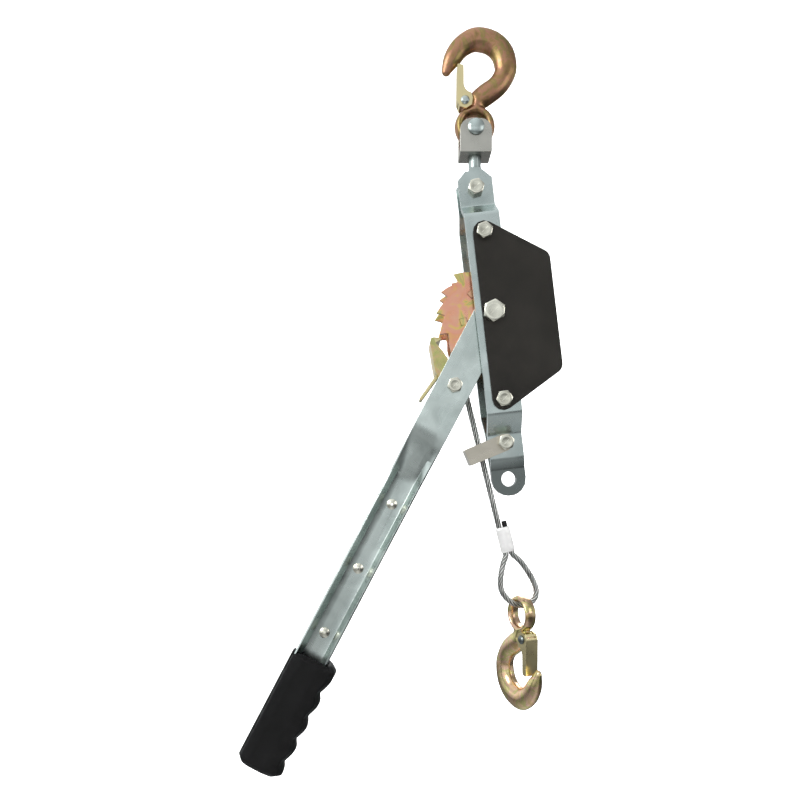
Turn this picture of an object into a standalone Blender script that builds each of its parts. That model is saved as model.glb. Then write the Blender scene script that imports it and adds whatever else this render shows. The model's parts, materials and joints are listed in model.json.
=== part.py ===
"""Come along winch, hanging from its top hook. Metres, +Z up.

The origin is the saddle of the top hook, where a bar or a chain carries the winch. X runs to the right,
and Y runs along the axle, with the near strap at -Y and the far strap at +Y.
"""

import math

import bmesh
import bpy
from mathutils import Matrix, Vector

MM = 0.001
GAP = 0.3  # between pieces that touch, in mm like every size below

# Places in the XZ plane
EYE_Z = -65.1  # centre of the top hook's eye
HEAD_X = -1.2  # the vertical line of the clevis pin, the swivel stud and the top bolt
PIN_Z = -69.9
LOOP_EYE_OUTER, LOOP_EYE_INNER = 15.9, 10.5  # the bottom hook's eye, which hangs in the rope's loop
AXLE = (11.5, -229.7)
FRAME_TILT = 6.7  # degrees that the straps lean, the top to the left
HANDLE_TILT = 27.75  # degrees between the handle and straight down
ROPE_TILT = 14.0  # degrees between the rope and straight down

# Places along the straps, counted down from the axle
STRAP_TOP, TOP_BOLT, UPPER_BOLT, LOWER_BOLT = -124.0, -109.0, -66.5, 72.0
KEEPER_BOLT, END_HOLE, STRAP_END = 107.0, 138.5, 153.0

# Distances from the middle plane, along Y
DRUM_HALF, WHEEL_IN, WHEEL_OUT = 11.7, 12.0, 16.0
CHEEK_MID, CHEEK_THICK = 18.0, 2.0
STRAP_MID, STRAP_THICK, STRAP_WIDTH = 23.0, 4.0, 29.0
GUARD_IN, GUARD_OUT = 25.3, 26.8

# Round sizes
ROPE_R, DRUM_R, COIL_R, ROPE_LINE_R = 2.5, 28.2, 37.9, 35.4
TEETH, TIP_R, ROOT_R, FIRST_TIP = 16, 46.5, 39.5, 178.1
PAWL_SWING = 8.0  # degrees that a pawl swings in, from just clear of the teeth to the bottom of a gap
AXLE_R, BUSH_R, BOLT_R, SLEEVE_R = 5.0, 6.5, 3.75, 5.8
AXLE_HEX, BOLT_HEX, PAWL_HEX = 9.4, 7.0, 6.6

# Places along the handle, counted from the axle
PAWL_BOLT, CHEEK_END, WEB_START = 67.0, 107.0, 159.0
RIVETS = (180.0, 242.0, 304.0)
GRIP_START, GRIP_END, HANDLE_END = 322.0, 436.0, 420.0
LIP_MID = 8.6  # how far the edges of the trough stand from the middle plane

COLOURS = {
    "yellow_zinc": ((0.62, 0.42, 0.16), 0.35, 1.0),
    "iridescent_zinc": ((0.72, 0.45, 0.28), 0.35, 1.0),
    "white_zinc": ((0.66, 0.70, 0.69), 0.38, 1.0),
    "nickel": ((0.62, 0.57, 0.50), 0.35, 1.0),
    "black_coat": ((0.03, 0.028, 0.026), 0.55, 0.0),
    "rubber": ((0.015, 0.015, 0.015), 0.7, 0.0),
    "rope_wire": ((0.45, 0.45, 0.43), 0.4, 1.0),
    "aluminium": ((0.85, 0.84, 0.82), 0.35, 1.0),
    "spring_steel": ((0.55, 0.56, 0.58), 0.3, 1.0),
}

for old in list(bpy.data.objects):
    bpy.data.objects.remove(old, do_unlink=True)

parts = bpy.data.collections.new("come_along_winch")
cutters = bpy.data.collections.new("cutters")
bpy.context.scene.collection.children.link(parts)
bpy.context.scene.collection.children.link(cutters)


def turn(degrees):
    """Sine and cosine of an angle in degrees."""
    return math.sin(math.radians(degrees)), math.cos(math.radians(degrees))


def on_frame(down, across=0.0):
    """The X and Z of a place on the straps, down from the axle and across to the right."""
    s, c = turn(FRAME_TILT)
    return AXLE[0] + down * s + across * c, AXLE[1] - down * c + across * s


def on_handle(out, across=0.0):
    """The X and Z of a place on the handle, out from the axle and across to the lower right."""
    s, c = turn(HANDLE_TILT)
    return AXLE[0] - out * s + across * c, AXLE[1] - out * c - across * s


def on_rope(down, across=0.0):
    """The X and Z of a place on the rope, down from where it leaves the drum and across to the right."""
    s, c = turn(ROPE_TILT)
    x, z = AXLE[0] - ROPE_LINE_R * c, AXLE[1] - ROPE_LINE_R * s
    return x + down * s + across * c, z - down * c + across * s


def on_wheel(radius, degrees):
    s, c = turn(degrees)
    return AXLE[0] + radius * c, AXLE[1] + radius * s


def material(name):
    found = bpy.data.materials.get(name)
    if found:
        return found
    made = bpy.data.materials.new(name)
    made.use_nodes = True
    colour, roughness, metallic = COLOURS[name]
    shader = made.node_tree.nodes["Principled BSDF"]
    shader.inputs["Base Color"].default_value = (*colour, 1)
    shader.inputs["Roughness"].default_value = roughness
    shader.inputs["Metallic"].default_value = metallic
    return made


def place(name, mesh, coat=None, smooth=True):
    """A new object from a mesh in millimetres: a part with its coat, or a cutter without one."""
    thing = bpy.data.objects.new(name, mesh)
    mesh.transform(Matrix.Scale(MM, 4))
    if coat:
        mesh.materials.append(material(coat))
        parts.objects.link(thing)
    else:
        cutters.objects.link(thing)
        thing.hide_render = True
        thing.display_type = "WIRE"
    if smooth:
        mesh.shade_smooth()
        mesh.set_sharp_from_angle(angle=math.radians(35))
    return thing


def finish_mesh(bm, name):
    bmesh.ops.recalc_face_normals(bm, faces=bm.faces)
    mesh = bpy.data.meshes.new(name)
    bm.to_mesh(mesh)
    bm.free()
    return mesh


def boolean(thing, other, operation):
    """Cuts or joins a shape and bakes the result, so that later steps read a plain mesh."""
    step = thing.modifiers.new(operation, "BOOLEAN")
    step.object = other
    step.operation = operation
    bpy.context.view_layer.update()
    found = thing.evaluated_get(bpy.context.evaluated_depsgraph_get())
    baked = bpy.data.meshes.new_from_object(found)
    thing.modifiers.clear()
    thing.data = baked
    bpy.data.objects.remove(other, do_unlink=True)
    return thing


def cut(thing, *tools):
    for tool in tools:
        boolean(thing, tool, "DIFFERENCE")
    return thing


def join(thing, *others):
    for other in others:
        boolean(thing, other, "UNION")
    return thing


def rod(name, at, radius, y_from, y_to, coat=None, sides=16, turned=0.0):
    """A round or many-sided bar along Y."""
    bm = bmesh.new()
    bmesh.ops.create_cone(
        bm, cap_ends=True, segments=sides, radius1=radius, radius2=radius, depth=y_to - y_from
    )
    spin = Matrix.Rotation(math.radians(turned), 4, "Z")
    lay = Matrix.Rotation(math.radians(90), 4, "X")
    bmesh.ops.transform(bm, matrix=lay @ spin, verts=bm.verts)
    bmesh.ops.translate(bm, vec=(at[0], (y_from + y_to) / 2, at[1]), verts=bm.verts)
    return place(name, finish_mesh(bm, name), coat)


def tube(name, at, outer, inner, y_from, y_to, coat, sides=16):
    """A bush, a spacer or a washer along Y."""
    made = rod(name, at, outer, y_from, y_to, coat, sides)
    return cut(made, rod("bore", at, inner, y_from - 1, y_to + 1, None, sides))


def plate(name, outline, y_from, y_to, coat=None):
    """A flat outline in the XZ plane, filled and extruded along Y."""
    curve = bpy.data.curves.new(name, "CURVE")
    curve.dimensions = "2D"
    curve.fill_mode = "BOTH"
    curve.extrude = (y_to - y_from) / 2
    spline = curve.splines.new("POLY")
    spline.points.add(len(outline) - 1)
    for point, (x, z) in zip(spline.points, outline):
        point.co = (x, z, 0, 1)
    spline.use_cyclic_u = True
    return bake_curve(name, curve, (y_from + y_to) / 2, coat, Matrix.Rotation(math.radians(90), 4, "X"))


def bake_curve(name, curve, y, coat, lay=Matrix.Identity(4)):
    """A curve's evaluated shape as a welded mesh."""
    holder = bpy.data.objects.new(name + "_curve", curve)
    bpy.context.scene.collection.objects.link(holder)
    bpy.context.view_layer.update()
    found = holder.evaluated_get(bpy.context.evaluated_depsgraph_get())
    mesh = bpy.data.meshes.new_from_object(found)
    bpy.data.objects.remove(holder, do_unlink=True)
    bm = bmesh.new()
    bm.from_mesh(mesh)
    bmesh.ops.remove_doubles(bm, verts=bm.verts, dist=0.001)
    bmesh.ops.transform(bm, matrix=lay, verts=bm.verts)
    bmesh.ops.translate(bm, vec=(0, y, 0), verts=bm.verts)
    return place(name, finish_mesh(bm, name), coat)


def sweep(name, points, radii, coat=None, closed=False, resolution=2):
    """A round bar through points, with its own radius at each."""
    curve = bpy.data.curves.new(name, "CURVE")
    curve.dimensions = "3D"
    curve.bevel_depth = 1.0
    curve.bevel_resolution = resolution
    curve.use_fill_caps = True
    spline = curve.splines.new("POLY")
    spline.points.add(len(points) - 1)
    for point, where, radius in zip(spline.points, points, radii):
        point.co = (*where, 1)
        point.radius = radius
    spline.use_cyclic_u = closed
    return bake_curve(name, curve, 0, coat)


def lathe(name, profile, at, coat=None, axis="Y", sides=16, y=0.0):
    """A turned shape. The profile is a list of (radius, place along the axis), from one end to the other."""
    bm = bmesh.new()
    rows = []
    for radius, along in profile:
        if radius < 0.01:
            rows.append([bm.verts.new((0, 0, along))])
            continue
        turned = [turn(360 * i / sides) for i in range(sides)]
        rows.append([bm.verts.new((radius * c, radius * s, along)) for s, c in turned])
    for row, after in zip(rows, rows[1:]):
        for i in range(sides):
            j = (i + 1) % sides
            corners = [row[i % len(row)], row[j % len(row)], after[j % len(after)], after[i % len(after)]]
            bm.faces.new(list(dict.fromkeys(corners)))
    for row in (rows[0], rows[-1]):
        if len(row) > 1:
            bm.faces.new(row)
    if axis == "Y":
        bmesh.ops.transform(bm, matrix=Matrix.Rotation(math.radians(-90), 4, "X"), verts=bm.verts)
    bmesh.ops.translate(bm, vec=(at[0], y, at[1]), verts=bm.verts)
    return place(name, finish_mesh(bm, name), coat)


def smooth_path(stations, steps):
    """Points through the stations, as a Catmull-Rom curve with some steps between each two."""
    ends = [stations[0], *stations, stations[-1]]
    found = []
    for a, b, c, d in zip(ends, ends[1:], ends[2:], ends[3:]):
        for k in range(steps):
            t = k / steps
            found.append(
                tuple(
                    0.5 * (2 * q + (r - p) * t + (2 * p - 5 * q + 4 * r - w) * t**2
                           + (3 * q - p - 3 * r + w) * t**3)
                    for p, q, r, w in zip(a, b, c, d)
                )
            )
    return found + [tuple(stations[-1])]


def rounded(circles, steps=4):
    """The outline of a strip stretched round circles of (x, z, radius), which are listed clockwise."""
    outline = []
    count = len(circles)
    for i, (x, z, radius) in enumerate(circles):
        normals = []
        before, here, after = circles[i - 1], circles[i], circles[(i + 1) % count]
        for (ax, az, ar), (bx, bz, br) in ((before, here), (here, after)):
            heading = math.atan2(bz - az, bx - ax)
            lean = math.asin((ar - br) / math.hypot(bx - ax, bz - az))
            normals.append(heading + math.pi / 2 - lean)
        sweep_by = (normals[0] - normals[1]) % (2 * math.pi)
        for k in range(steps + 1):
            angle = normals[0] - sweep_by * k / steps
            outline.append((x + radius * math.cos(angle), z + radius * math.sin(angle)))
    return outline


def bent_plate(name, stations, where, thick, coat, columns=2):
    """A bent strip. Each station is (along, half width, distance from the middle plane); where maps
    (along, across) to X and Z."""
    bm = bmesh.new()
    rows = []
    for along, half, off in stations:
        row = []
        for k in range(columns + 1):
            share = 2 * k / columns - 1
            depth = off(share) if callable(off) else off
            x, z = where(along, half * share)
            row.append(bm.verts.new((x, depth, z)))
        rows.append(row)
    for row, after in zip(rows, rows[1:]):
        for k in range(columns):
            bm.faces.new((row[k], row[k + 1], after[k + 1], after[k]))
    mesh = bpy.data.meshes.new(name)
    bm.to_mesh(mesh)
    bm.free()
    thing = bpy.data.objects.new(name, mesh)
    bpy.context.scene.collection.objects.link(thing)
    thicken = thing.modifiers.new("sheet", "SOLIDIFY")
    thicken.thickness = thick
    thicken.offset = 0
    thicken.use_even_offset = True
    bpy.context.view_layer.update()
    found = thing.evaluated_get(bpy.context.evaluated_depsgraph_get())
    solid = bpy.data.meshes.new_from_object(found)
    bpy.data.objects.remove(thing, do_unlink=True)
    bm = bmesh.new()
    bm.from_mesh(solid)
    return place(name, finish_mesh(bm, name), coat)


def bolt(name, at, shank, hexagon, under_head, head, end, turned=0.0):
    """A hexagon bolt along Y, its head towards -Y."""
    made = rod(name, at, hexagon, under_head - head, under_head, "white_zinc", 6, turned)
    return join(made, rod("shank", at, shank, under_head - 0.5, end))


def nut(name, at, shank, hexagon, y_from, thick, turned=0.0):
    made = rod(name, at, hexagon, y_from, y_from + thick, "white_zinc", 6, turned)
    return cut(made, rod("bore", at, shank + GAP, y_from - 1, y_from + thick + 1))


def hook_body(name, size, eye_outer, eye_inner, eye_half, eye_drop):
    """A forged hook with the saddle at the origin and the eye below it, in the XZ plane."""
    bowl = (1.5 * size, -13.9 * size)
    ring = (HEAD_X * size, bowl[1] - eye_drop * size)
    stations = [
        (187, 27.4, 4.2), (175, 25.0, 6.2), (160, 23.2, 7.9), (135, 22.9, 8.8), (110, 23.6, 9.6),
        (90, 24.3, 10.3), (60, 24.4, 10.4), (30, 24.3, 10.3), (0, 23.9, 9.8), (-20, 23.3, 9.2),
        (-45, 22.9, 9.2),
    ]
    path = []
    for angle, radius, half in stations:
        s, c = turn(angle)
        path.append((bowl[0] + radius * size * c, 0, bowl[1] + radius * size * s, half * size))
    path.append((bowl[0] + 6.2 * size, 0, bowl[1] - 23.6 * size, 9.4 * size))
    path.append((bowl[0] - 0.8 * size, 0, bowl[1] - 29.8 * size, 8.6 * size))
    path.append((ring[0] + 0.2, 0, ring[1] + eye_outer * 0.86, 7.6 * size))
    dense = smooth_path(path, 3)
    tip = dense[0]
    first = Vector(dense[1][:3]) - Vector(tip[:3])
    first.normalize()
    nose = [
        (*(Vector(tip[:3]) - first * tip[3] * s), tip[3] * c)
        for s, c in (turn(80), turn(55), turn(28))
    ]
    dense = nose + dense
    made = sweep(name, [p[:3] for p in dense], [p[3] for p in dense], "yellow_zinc", False, 6)
    made.data.transform(Matrix.Diagonal((1, 0.74, 1, 1)))
    major, minor = (eye_outer + eye_inner) / 2, (eye_outer - eye_inner) / 2
    circle = [turn(360 * i / 24) for i in range(24)]
    around = [(ring[0] + major * c, 0, ring[1] + major * s) for s, c in circle]
    eye = sweep("eye", around, [minor] * 24, None, True, 4)
    eye.data.transform(Matrix.Diagonal((1, eye_half / minor, 1, 1)))
    lug_at = (ring[0] - 8.8 * size, ring[1] + 20.6 * size)
    lug = rod("lug", lug_at, 6.0 * size, -4.2 * size, 4.2 * size)
    join(made, eye, lug)
    flats = [rod("flat", lug_at, 8.4 * size, *sorted((side * 4.3 * size, side * 20))) for side in (-1, 1)]
    return cut(made, *flats, rod("rivet_hole", lug_at, 2.3, -20, 20, None, 16)), lug_at, ring


def latch_body(name, lug_at, size, length, lean):
    """The sprung latch: a folded strip whose cheeks hold the lug of the hook."""
    x, z = lug_at
    s, c = turn(lean)
    tip = (x - length * s, z + length * c)
    corner, square = 1.2 * size, 1.4 * size
    left, right = (tip[0] - square, tip[1] + square, corner), (tip[0] + square, tip[1] + 0.6 * size, corner)
    shape = rounded([(x, z, 6.9 * size), left, right])
    outside = plate(name, shape, -6.2 * size, 6.2 * size, "yellow_zinc")
    low, high = z - 12, tip[1] + 8
    keep = [(x - 4.6 * size, low), (tip[0] - 0.4 * size, high), (x + 30, high), (x + 30, low)]
    waist = [(-1.2, 34), (-1.0, 13), (0.4, 9.6), (3.0, 7.2), (12, 6), (12, 34)]
    return cut(
        outside,
        plate("waist", [(x + a * size, z + b * size) for a, b in waist], -20, 20),
        plate("fold", keep, -4.7 * size, 4.7 * size),
        rod("lug_room", lug_at, 6.4 * size, -4.7 * size, 4.7 * size),
        rod("rivet_hole", lug_at, 2.3, -20, 20, None, 16),
    )


def latch_rivet(name, lug_at, size):
    half = 6.2 * size + GAP
    profile = [(0, -half - 1.9), (2.4, -half - 1.6), (3.8, -half - 0.4), (3.8, -half), (2.0, -half)]
    profile += [(r, -a) for r, a in reversed(profile)]
    return lathe(name, profile, lug_at, "white_zinc", sides=16)


def top_hook():
    made, lug_at, ring = hook_body("top_hook", 1.0, 17.5, 9.6, 7.0, -EYE_Z - 13.9)
    latch_body("top_latch", lug_at, 1.0, 28.5, 8.0)
    latch_rivet("top_latch_rivet", lug_at, 1.0)


def clevis():
    x = HEAD_X
    corners = [(-4.0, -72.0, 9.5), (4.0, -72.0, 9.5), (12.5, -90.0, 1.0), (-12.5, -90.0, 1.0)]
    ear = rounded([(x + across, z, radius) for across, z, radius in corners])
    made = plate("hook_clevis", ear, -11.5, 11.5, "white_zinc")
    inside = [(x - 20, -50), (x + 20, -50), (x + 20, -87.0), (x - 20, -87.0)]
    cut(made, plate("inside", inside, -8.0, 8.0), rod("pin_hole", (x, PIN_Z), 4.5 + GAP, -20, 20))
    hole = lathe("neck_hole", [(5.8, -110), (5.8, -80)], (x, 0), None, "Z")
    cut(made, hole)
    head = [(0, -14.6), (5.2, -14.2), (7.0, -12.9), (7.0, -11.8)]
    tail = [(4.5, -11.8), (4.5, 11.8), (6.6, 11.8), (6.6, 12.8), (4.8, 14.0), (0, 14.3)]
    lathe("clevis_pin", head + tail, (x, PIN_Z), "white_zinc")
    _, bolt_z = on_frame(TOP_BOLT)
    turned = [(0, -83.3), (7.6, -83.3), (7.6, -86.7), (5.4, -86.7), (5.4, -104), (0, -104)]
    stud = lathe("swivel_stud", turned, (x, 0), "white_zinc", "Z")
    eye = rod("stud_eye", (x, bolt_z), 9.0, -6.0, 6.0)
    shoulder = rounded([(x, bolt_z, 9.0), (x - 4.0, -103.0, 1.4), (x + 4.0, -103.0, 1.4)])
    join(stud, plate("shoulder", shoulder, -6.0, 6.0), eye)
    cut(stud, rod("bolt_hole", (x, bolt_z), BOLT_R + GAP, -20, 20))


def strap(name, side):
    half = STRAP_WIDTH / 2
    joggles = [(TOP_BOLT, 8.3), (-95.0, 8.3), (-92.5, 9.0), (-82.5, 22.3), (-80.0, STRAP_MID),
               (UPPER_BOLT, STRAP_MID), (0.0, STRAP_MID), (LOWER_BOLT, STRAP_MID), (82.0, STRAP_MID),
               (84.5, 22.2), (98.5, 6.9), (101.0, 6.3), (KEEPER_BOLT, 6.3), (119.5, 6.3), (122.0, 5.8),
               (128.0, 2.7), (130.5, 2.3), (END_HOLE, 2.3)]
    stations = [(STRAP_TOP, 7.5, 8.3), (STRAP_TOP + 7, half, 8.3), *[(a, half, y) for a, y in joggles]]
    for angle in (25, 48, 66, 80):
        s, c = turn(angle)
        stations.append((END_HOLE + half * s, half * c, 2.3))
    stations = [(a, w, side * y) for a, w, y in stations]
    made = bent_plate(name, stations, on_frame, STRAP_THICK, "white_zinc")
    holes = [(place_down, BOLT_R) for place_down in (TOP_BOLT, UPPER_BOLT, LOWER_BOLT, KEEPER_BOLT)]
    holes.append((0.0, AXLE_R))
    tools = [rod("hole", on_frame(a), r + GAP, -40, 40) for a, r in holes]
    return cut(made, *tools, rod("end_hole", on_frame(END_HOLE), 6.5, -40, 40))


def guard():
    corners = [(UPPER_BOLT, 0, 9.2), (-38.5, 43.0, 8.5), (48.0, 43.0, 8.5), (LOWER_BOLT, 0, 9.2)]
    circles = [(*on_frame(a, b), r) for a, b, r in corners]
    made = plate("guard", rounded(circles), -GUARD_OUT, GUARD_OUT, "black_coat")
    inside = [on_frame(-120, -60), on_frame(-120, 50), on_frame(120, 50), on_frame(120, -60)]
    holes = [rod("hole", on_frame(a), r + GAP, -40, 40) for a, r in
             ((UPPER_BOLT, BOLT_R), (0.0, AXLE_R), (LOWER_BOLT, BOLT_R))]
    return cut(made, plate("inside", inside, -GUARD_IN, GUARD_IN), *holes)


def frame_bolts():
    outer = GUARD_OUT + GAP
    tabs = 8.3 + STRAP_THICK / 2 + GAP
    at = on_frame(TOP_BOLT)
    bolt("top_bolt", at, BOLT_R, BOLT_HEX, -tabs, 5.0, tabs + 8, 14)
    nut("top_nut", at, BOLT_R, BOLT_HEX, tabs, 6.0, 5)
    for label, down, turned in (("upper_guard", UPPER_BOLT, 20), ("lower_guard", LOWER_BOLT, 8)):
        at = on_frame(down)
        bolt(label + "_bolt", at, BOLT_R, BOLT_HEX, -outer, 5.0, outer + 8, turned)
        nut(label + "_nut", at, BOLT_R, BOLT_HEX, outer, 6.0, turned + 11)
        sleeve = STRAP_MID - STRAP_THICK / 2 - GAP
        tube(label + "_sleeve", at, SLEEVE_R, BOLT_R + GAP, -sleeve, sleeve, "white_zinc")
    at = on_frame(0)
    bolt("axle_bolt", at, AXLE_R, AXLE_HEX, -outer, 6.4, outer + 10, 26)
    nut("axle_nut", at, AXLE_R, AXLE_HEX, outer, 8.0, 40)
    sleeve = STRAP_MID - STRAP_THICK / 2 - GAP
    tube("axle_bush", at, BUSH_R, AXLE_R + GAP, -sleeve, sleeve, "white_zinc")
    for label, side in (("near", -1), ("far", 1)):
        low, high = sorted((side * 19.4, side * 20.7))
        tube("axle_washer_" + label, at, 11.0, BUSH_R + GAP, low, high, "white_zinc")
    at = on_frame(KEEPER_BOLT)
    leaf = 8.3 + GAP + 1.6 + GAP
    bolt("keeper_bolt", at, BOLT_R, BOLT_HEX, -leaf, 5.0, leaf + 8, 17)
    nut("keeper_nut", at, BOLT_R, BOLT_HEX, leaf, 6.0, 2)


def wheel(label, side):
    step = 360 / TEETH
    tooth = [(0, TIP_R), (1.2, 41.8), (2.8, ROOT_R), (7.2, 40.2), (14.5, 43.3)]
    turns = [FIRST_TIP + k * step for k in range(TEETH)]
    outline = [on_wheel(radius, start + angle) for start in turns for angle, radius in tooth]
    low, high = sorted((side * WHEEL_IN, side * WHEEL_OUT))
    made = plate("ratchet_wheel_" + label, outline, low, high, "iridescent_zinc")
    cut(made, rod("bore", AXLE, 9.3, -40, 40))
    return cut(made, *[lug(k, 3.0, -40, 40) for k in range(6)])


def lug(number, half, y_from, y_to):
    """One of the square lugs that lock the drum into the wheels."""
    x, z = on_wheel(24.3, 134 + 60 * number)
    square = [turn(45 + 134 + 60 * number + 90 * i) for i in range(4)]
    size = half * math.sqrt(2)
    return plate("lug", [(x + size * c, z + size * s) for s, c in square], y_from, y_to)


def drum():
    made = rod("drum_core", AXLE, DRUM_R, -DRUM_HALF, DRUM_HALF, "iridescent_zinc", 28)
    join(made, rod("hub", AXLE, 9.0, -16.5, 16.5), *[lug(k, 2.7, -16.5, 16.5) for k in range(6)])
    cut(made, rod("bore", AXLE, BUSH_R + GAP, -40, 40))
    low = DRUM_R + GAP
    half = DRUM_HALF - 0.1
    ring = rod("rope_on_drum", AXLE, COIL_R, -half, half, "rope_wire", 32)
    cut(ring, rod("bore", AXLE, low, -40, 40, None, 32))
    wheel("near", -1)
    wheel("far", 1)


def handle_half(name, side):
    """A stamped half of the handle: a flat cheek at the axle that sinks inwards and turns into a trough."""
    def depth(out):
        share = min(max((out - CHEEK_END) / (WEB_START - CHEEK_END), 0.0), 1.0)
        ease = share * share * (3 - 2 * share)
        web = CHEEK_MID + (1.3 - CHEEK_MID) * ease
        lip = CHEEK_MID + (LIP_MID - CHEEK_MID) * ease

        def across(share_across):
            rise = min(max((abs(share_across) - 0.55) / 0.45, 0.0), 1.0)
            return side * (web + (lip - web) * rise * rise * (3 - 2 * rise) if ease else web)
        return across

    stations = [(-14.2, 5.0), (-12.5, 8.3), (-9.5, 11.6), (-5.0, 14.1), (0.0, 15.0), (PAWL_BOLT, 15.0)]
    stations += [(float(a), 15.0 - (a - CHEEK_END) * 0.018) for a in (107, 114, 122, 133, 144, 152, 159)]
    stations += [(180.0, 14.0), (242.0, 14.0), (304.0, 14.0), (HANDLE_END, 14.0)]
    made = bent_plate(name, [(a, w, depth(a)) for a, w in stations], on_handle, CHEEK_THICK, "white_zinc", 6)
    holes = [rod("hole", on_handle(a), 2.7, -40, 40, None, 10) for a in RIVETS]
    holes.append(rod("hole", AXLE, BUSH_R + GAP, -40, 40))
    holes.append(rod("hole", on_handle(PAWL_BOLT), BOLT_R + GAP, -40, 40))
    return cut(made, *holes)


def handle_rivets():
    profile = [(1.0, -4.9), (2.6, -4.7), (4.6, -3.6), (4.6, -2.75), (2.4, -2.75)]
    profile += [(r, -a) for r, a in reversed(profile)]
    for number, out in enumerate(RIVETS, 1):
        domed = [(0, -4.9), *profile[1:-1], (0, 4.9)]
        made = lathe(f"handle_rivet_{number}", domed, on_handle(out), "white_zinc", sides=10)
        cut(made, rod("mandrel_hole", on_handle(out), 1.1, -9, 9, None, 6))


def grip():
    """The rubber grip: straight on the back of the hand's side, with four finger grooves on the other."""
    bm = bmesh.new()
    bmesh.ops.create_uvsphere(bm, u_segments=16, v_segments=28, radius=1)
    long = GRIP_END - GRIP_START
    for vert in bm.verts:
        share = math.acos(max(-1.0, min(1.0, vert.co.z))) / math.pi
        out = GRIP_START + long * share
        spread = min(1.0, math.sin(math.pi * share) * 5.5) ** 0.5 if 0 < share < 1 else 0
        ring = Vector((vert.co.x, vert.co.y))
        angle = math.atan2(ring.y, ring.x) if ring.length > 1e-6 else 0.0
        c, s = math.cos(angle), math.sin(angle)
        squared = (abs(c) ** 3.6 + abs(s) ** 3.6) ** (-1 / 3.6)
        fingers = finger_depth(out)
        reach = (25.0 - fingers) if c > 0 else 17.2
        across = squared * c * reach * spread
        thick = squared * s * 15.0 * spread
        x, z = on_handle(out, across)
        vert.co = (x, thick, z)
    made = place("grip", finish_mesh(bm, "grip"), "rubber")
    room = LIP_MID + CHEEK_THICK / 2 + 3 * GAP
    pocket = [on_handle(GRIP_START - 20, -15.2), on_handle(GRIP_START - 20, 15.2),
              on_handle(HANDLE_END + 1, 15.2), on_handle(HANDLE_END + 1, -15.2)]
    return cut(made, plate("pocket", pocket, -room, room))


def finger_depth(out):
    """How deep the finger grooves are at a distance along the handle."""
    along = (out - 352.0) / 22.0
    if along < -0.5 or along > 3.5:
        return 0.0
    share = along - math.floor(along)
    return 4.8 * (1 - share / 0.34 if share < 0.34 else ((share - 0.34) / 0.66) ** 1.5)


def relieve(pawl, pivot, engaged):
    """Cuts a pawl's belly back, to clear the wheels' teeth when it has swung in by engaged degrees."""
    s, c = turn(engaged)
    x, z = AXLE[0] - pivot[0], AXLE[1] - pivot[1]
    wheel_at = (pivot[0] + x * c - z * s, pivot[1] + x * s + z * c)
    return cut(pawl, rod("teeth_room", wheel_at, TIP_R + 0.6, -40, 40, None, 48))


def drive_pawl():
    pivot = on_handle(PAWL_BOLT)
    nose, heel = on_wheel(47.9, 205.0), on_wheel(53.5, 203.5)
    body = [(*pivot, 8.0), (pivot[0] - 12.0, pivot[1] + 13.5, 4.5), (heel[0], heel[1] - 2.0, 2.6)]
    made = plate("drive_pawl", rounded(body, 4), -16.4, 16.4, "iridescent_zinc")
    inner = [(pivot[0] + 16, pivot[1] - 6.0, 14.0), (pivot[0] - 8.5, pivot[1] + 12.0, 4.0),
             (heel[0] + 1.5, heel[1] - 9.0, 2.0), (pivot[0] + 14, pivot[1] + 24.0, 8.0)]
    cut(made, plate("inside", rounded(inner, 4), -14.2, 14.2), rod("spring_room", pivot, 8.6, -14.2, 14.2))
    relieve(made, pivot, PAWL_SWING)
    join(made, plate("nose", rounded([(*heel, 2.6), (*nose, 0.9)], 4), -16.4, 16.4))
    fold = (pivot[0] - 14.0, pivot[1] + 9.0)
    tip = (pivot[0] - 28.0, pivot[1] - 10.5)
    tail = plate("tail", rounded([(*fold, 1.3), (*tip, 1.3)], 3), -11.0, 11.0)
    join(made, tail)
    cut(made, rod("pivot_hole", pivot, SLEEVE_R - 0.5 + GAP, -40, 40))
    cheek = CHEEK_MID + CHEEK_THICK / 2 + GAP
    rod_end = cheek - 2 * GAP - CHEEK_THICK
    tube("drive_pawl_sleeve", pivot, SLEEVE_R - 0.5, BOLT_R + GAP, -rod_end, rod_end, "white_zinc")
    bolt("drive_pawl_bolt", pivot, BOLT_R, PAWL_HEX, -cheek, 3.4, cheek + 3.6, 12)
    nut("drive_pawl_ring", pivot, BOLT_R, PAWL_HEX, cheek, 3.0, 24)


def holding_pawl():
    pivot = on_frame(UPPER_BOLT)
    nose, heel = on_wheel(47.9, 48.0), on_wheel(53.8, 50.0)
    body = [(*pivot, 9.0), (heel[0] - 0.5, heel[1] + 0.5, 2.8)]
    made = plate("holding_pawl", rounded(body, 4), -18.6, 18.6, "iridescent_zinc")
    inner = [(pivot[0] - 14, pivot[1] - 12.0, 6.0), (pivot[0] - 2.0, pivot[1] + 5.0, 10.0),
             (heel[0] - 9.0, heel[1] + 6.0, 2.5), (heel[0] - 14.0, heel[1] - 8.0, 6.0)]
    cut(made, plate("inside", rounded(inner, 4), -16.6, 16.6))
    relieve(made, pivot, PAWL_SWING)
    join(made, plate("nose", rounded([(*heel, 2.8), (*nose, 0.9)], 4), -18.6, 18.6))
    return cut(made, rod("pivot_hole", pivot, SLEEVE_R + GAP, -40, 40))


def helix(name, at, radius, wire, y_from, y_to, turns):
    """A torsion spring along Y, with a short straight leg at each end."""
    steps = turns * 9
    points = []
    for k in range(steps + 1):
        s, c = turn(360 * turns * k / steps)
        points.append((at[0] + radius * c, y_from + (y_to - y_from) * k / steps, at[1] + radius * s))
    first, last = points[0], points[-1]
    points = [(first[0], first[1], first[2] - 4.0), *points, (last[0], last[1], last[2] + 4.0)]
    return sweep(name, points, [wire] * len(points), "spring_steel", False, 1)


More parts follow.
